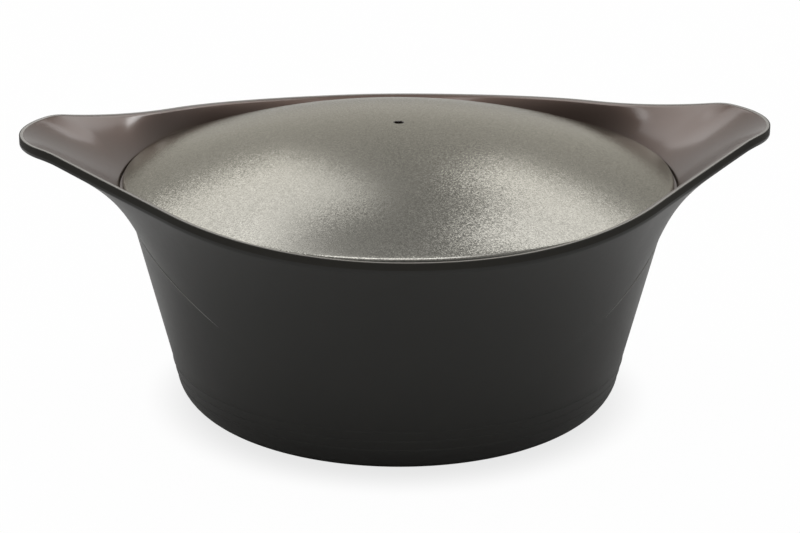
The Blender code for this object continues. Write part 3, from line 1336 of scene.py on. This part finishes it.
@dataclass
class CreaseBead:
    """The fine raised line along the crease where the flare leaves the round wall, in a light grey
    that paints the highlight it catches.

    Attributes:
        vessel: The casting that carries the bead.
        radius: The bead's radius below the wings.
        least_radius_share: What is left of that radius at the front and the back.
        sunk: How far its centre lies inside the wall, where it is thickest.
        fade_end: The wingness from which it has its full radius.
        sides: How many sides its section has.
    """

    vessel: Vessel
    radius: float = 0.00036
    least_radius_share: float = 0.3
    sunk: float = 0.0001
    fade_end: float = 0.8
    sides: int = 8

    def build(self) -> bpy.types.Object:
        """Lays the bead round the vessel, sinking it into the wall where it fades.

        Returns:
            Its piece, which rides on the vessel's body.
        """
        pot = self.vessel
        height = pot.crease_height()
        share = np.clip(pot.wingness / self.fade_end, 0, 1)
        share = share * share * (3 - 2 * share)
        least = self.least_radius_share
        thickness = self.radius * (least + (1 - least) * share)
        inwards = self.sunk + 2 * self.radius * (1 - share)
        ring = pot.ring_at(pot.wall_radius(height) - inwards, height)
        count = len(ring)
        source = bpy.data.meshes.new("crease_path")
        source.from_pydata(ring.tolist(), [(k, (k + 1) % count) for k in range(count)], [])
        source.attributes.new("thickness", "FLOAT", "POINT").data.foreach_set("value", thickness)
        # The bead's light grey finish is a painted highlight along the crease.
        values = {"Sides": self.sides, "Finish": CREASE_HIGHLIGHT_COAT.material()}
        obj = make_piece("crease_bead", bead_tree().bake(source, values))
        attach(obj, "vessel")
        return obj


@dataclass(frozen=True)
class Softbox:
    """A rectangular lamp, placed as seen from the pot.

    Attributes:
        name: The lamp's name.
        azimuth: Degrees to the right of straight behind the pot, as the camera sees it.
        elevation: Degrees above the table.
        width: Its width.
        height: Its height.
        brightness: How bright its face looks, where 1 is white.
        tilt: Degrees that its upright leans to the right.
        distance: How far it is from the pot's foot.
    """

    name: str
    azimuth: float
    elevation: float
    width: float
    height: float
    brightness: float
    tilt: float = 0.0
    distance: float = 1.6

    @property
    def power(self) -> float:
        """The power in watts that gives the face its brightness."""
        return self.brightness * pi * self.width * self.height


@dataclass
class Studio:
    """The white table and backdrop, the lamps and the camera.

    Attributes:
        camera_place: Where the camera stands.
        camera_target: The point that it looks at.
        camera_roll: Degrees that it is turned about its own axis.
        lens: Its focal length in millimetres.
        sensor_width: The width of its sensor in millimetres.
        softboxes: The lamps.
        floor_size: The side of the table.
        floor_gap: How far the table lies below the foot.
        table_colour: The table's own colour.
        foot_white_share: How far the table at the foot is lifted to white for the camera. It is
            lower than away from the foot, which paints shade round the foot on top of its real
            shadow.
        table_white_share: The same away from the foot.
        table_gloss_share: The same away from the foot for mirrored rays and rays through glass,
            and for mirrored rays that see the room.
        painted_shade_start: How far from the axis the painted shade round the foot starts to lift
            and the table begins to get whiter.
        painted_shade_end: How far from the axis the table is at its whitest, with no painted shade.
        room_colour: The tint of the room's light.
        room_light: How bright the room is all round, where 1 is white.
        backdrop_light: How much brighter it is low down behind the pot.
        backdrop_edge: Where the backdrop starts and is full, by how far behind a direction lies.
        ceiling_light: How much brighter it is high up.
        ceiling_edge: Where the ceiling starts and is full, by how high a direction points.
    """

    camera_place: Vector = field(default_factory=lambda: Vector((-0.0894, -1.0543, 0.4351)))
    camera_target: Vector = field(default_factory=lambda: Vector((0.00098, -0.00008, 0.0679)))
    camera_roll: float = 0.25
    lens: float = 97.2
    sensor_width: float = 36.0
    softboxes: tuple[Softbox, ...] = (
        Softbox("wide_softbox_left", -35.0, 45.0, 1.15, 0.64, brightness=1.95, tilt=3.0),
        Softbox("wide_softbox_right", 34.5, 43.0, 1.1, 0.3, brightness=2.2, tilt=-5.0),
        Softbox("small_softbox_left", -30.0, 60.0, 0.2, 0.5, brightness=1.6),
        Softbox("small_softbox_right", 29.0, 55.0, 0.4, 0.36, brightness=2.6),
        Softbox("overhead_softbox", 0.0, 90.0, 0.84, 0.84, brightness=3.6),
        Softbox("spot_left", -63.0, 43.5, 0.16, 0.22, brightness=4.5),
        Softbox("spot_right", 50.5, 37.5, 0.18, 0.15, brightness=13.0),
    )
    floor_size: float = 12.0
    floor_gap: float = 0.0002
    table_colour: Colour = (0.6, 0.6, 0.6)
    foot_white_share: float = 0.79
    table_white_share: float = 0.985
    table_gloss_share: float = 0.1
    painted_shade_start: float = 0.104
    painted_shade_end: float = 0.136
    room_colour: Colour = (1.0, 0.99, 0.96)
    room_light: float = 0.09
    backdrop_light: float = 0.58
    backdrop_edge: tuple[float, float] = (-0.1, 0.6)
    ceiling_light: float = 0.5
    ceiling_edge: tuple[float, float] = (0.35, 0.9)

    def build(self) -> None:
        """Sets up the table, the backdrop, the lamps, the camera and the view transform."""
        self.add_table()
        self.add_backdrop()
        for softbox in self.softboxes:
            self.add_softbox(softbox)
        self.add_camera()
        bpy.context.scene.view_settings.view_transform = "Standard"

    def ahead(self) -> Vector:
        """The way from the camera to what it looks at."""
        return self.camera_target - self.camera_place

    def table_paint(self) -> bpy.types.Material:
        """Mixes the table's paint.

        Returns:
            A dull paint that most rays see, and that the camera sees lifted to white, less so near
            the foot, where that paints shade over the real shadow.
        """
        material = bpy.data.materials.new("white_table_paint")
        sketch = NodeSketch.cleared(material)
        paint = sketch.node("ShaderNodeBsdfDiffuse", {}, {"Color": (*self.table_colour, 1.0)})
        white = sketch.node("ShaderNodeEmission", {}, {"Strength": 1.0})
        seen, mirrored, through = sketch.rays()
        place = sketch.node("ShaderNodeTexCoord").outputs["Object"]
        reach = sketch.signal(sketch.vector("LENGTH", place), "Value")
        # Painted shade: near the foot the camera and mirrored rays see less of the white, so a
        # darker ring shows there beyond the real shadow.
        away = reach.rise(self.painted_shade_start, self.painted_shade_end)
        whiter = self.table_white_share - self.foot_white_share
        share = (
            seen * (away * whiter + self.foot_white_share)
            + (mirrored + through) * away * self.table_gloss_share
        )
        inputs = {0: share, 1: paint.outputs["BSDF"], 2: white.outputs["Emission"]}
        mixed = sketch.node("ShaderNodeMixShader", {}, inputs)
        sketch.node("ShaderNodeOutputMaterial", {}, {"Surface": mixed.outputs[0]})
        return material

    def add_table(self) -> None:
        """Adds the floor that the pot stands on."""
        half = self.floor_size / 2
        mesh = bpy.data.meshes.new("white_table")
        corners = [(-half, -half), (half, -half), (half, half), (-half, half)]
        mesh.from_pydata([(x, y, -self.floor_gap) for x, y in corners], [], [(0, 1, 2, 3)])
        mesh.materials.append(self.table_paint())
        link_object("white_table", mesh)

    def add_backdrop(self) -> None:
        """Makes the room: dim in front of the pot, paler behind it and above it."""
        world = bpy.data.worlds.new("studio_room")
        sketch = NodeSketch.cleared(world)
        direction = sketch.node("ShaderNodeTexCoord").outputs["Generated"]
        level = self.ahead()
        level.z = 0.0
        along = sketch.signal(sketch.vector("DOT_PRODUCT", direction, level.normalized()), "Value")
        upwards = sketch.signal(sketch.node("ShaderNodeSeparateXYZ", {}, {0: direction}), "Z")
        behind = along.rise(*self.backdrop_edge)
        high = upwards.rise(*self.ceiling_edge)
        low_light = behind * (1 - high) * self.backdrop_light
        light = self.room_light + low_light + high * self.ceiling_light
        seen, mirrored, through = sketch.rays()
        share = seen + through + mirrored * self.table_gloss_share
        inputs = {
            "Color": sketch.mix_colour(share, (*self.room_colour, 1.0), WHITE),
            "Strength": light * (1 - share) + share,
        }
        backdrop = sketch.node("ShaderNodeBackground", {}, inputs)
        sketch.node("ShaderNodeOutputWorld", {}, {"Surface": backdrop.outputs[0]})
        bpy.context.scene.world = world

    def add_softbox(self, softbox: Softbox) -> None:
        """Adds one lamp, facing the pot.

        Args:
            softbox: The lamp.
        """
        ahead = self.ahead()
        heading = atan2(ahead.y, ahead.x) - radians(softbox.azimuth)
        raised = radians(softbox.elevation)
        way = Vector((cos(heading) * cos(raised), sin(heading) * cos(raised), sin(raised)))
        light = bpy.data.lights.new(softbox.name, "AREA")
        light.shape = "RECTANGLE"
        light.size = softbox.width
        light.size_y = softbox.height
        light.energy = softbox.power
        lamp = link_object(softbox.name, light)
        lamp.matrix_world = aimed(way * softbox.distance, -way, softbox.tilt)

    def add_camera(self) -> None:
        """Adds the camera where the photograph was taken from."""
        data = bpy.data.cameras.new("camera")
        data.lens = self.lens
        data.sensor_width = self.sensor_width
        camera = link_object("camera", data)
        camera.matrix_world = aimed(self.camera_place, self.ahead(), self.camera_roll)
        bpy.context.scene.camera = camera


def main() -> None:
    """Builds the pot's pieces and the studio, and reports each piece."""
    logging.basicConfig(level=logging.INFO, format="%(name)s: %(message)s")
    vessel = Vessel.from_frame()
    for part in (vessel, CreaseBead(vessel), Lid.from_frame(vessel)):
        obj = part.build()
        volume = enclosed_volume(obj.data) * CM3_PER_M3
        LOG.info("%s: %d faces, %.1f cm3", obj.name, len(obj.data.polygons), volume)
    Studio().build()


if __name__ == "__main__":
    main()
